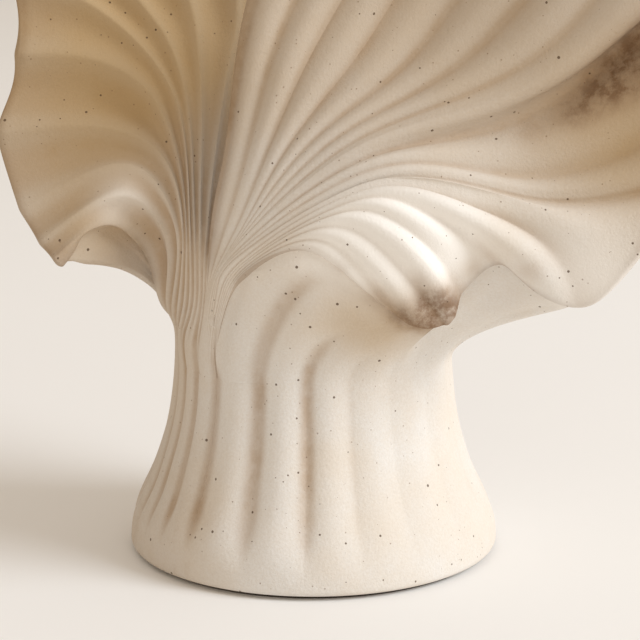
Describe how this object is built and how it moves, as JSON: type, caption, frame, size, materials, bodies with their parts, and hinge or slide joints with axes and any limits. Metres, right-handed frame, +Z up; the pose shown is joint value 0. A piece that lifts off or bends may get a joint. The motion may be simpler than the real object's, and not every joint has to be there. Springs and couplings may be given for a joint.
{
  "type": "fan vase",
  "caption": "Fan-shaped stoneware flower vase: a fluted flared stem opens into two pleated front leaves and a tall back leaf with a deep mouth between them.",
  "frame": {"origin": "centre of the round foot, on the surface that the vase stands on", "axes": "+Z up the stem; +X to the viewer's right, along the wide lobe; +Y away from the viewer, through the mouth to the back leaf"},
  "size_m": [0.2019, 0.1102, 0.2392],
  "materials": {
    "stoneware": "matte, unglazed, with iron speckles",
    "felt": "matte felt"
  },
  "bodies": {
    "vase": {"stem": "stoneware", "floor_slab": "stoneware", "front_leaf": "stoneware", "left_leaf": "stoneware", "back_leaf": "stoneware", "felt_pad": "felt"}
  },
  "joints": []
}
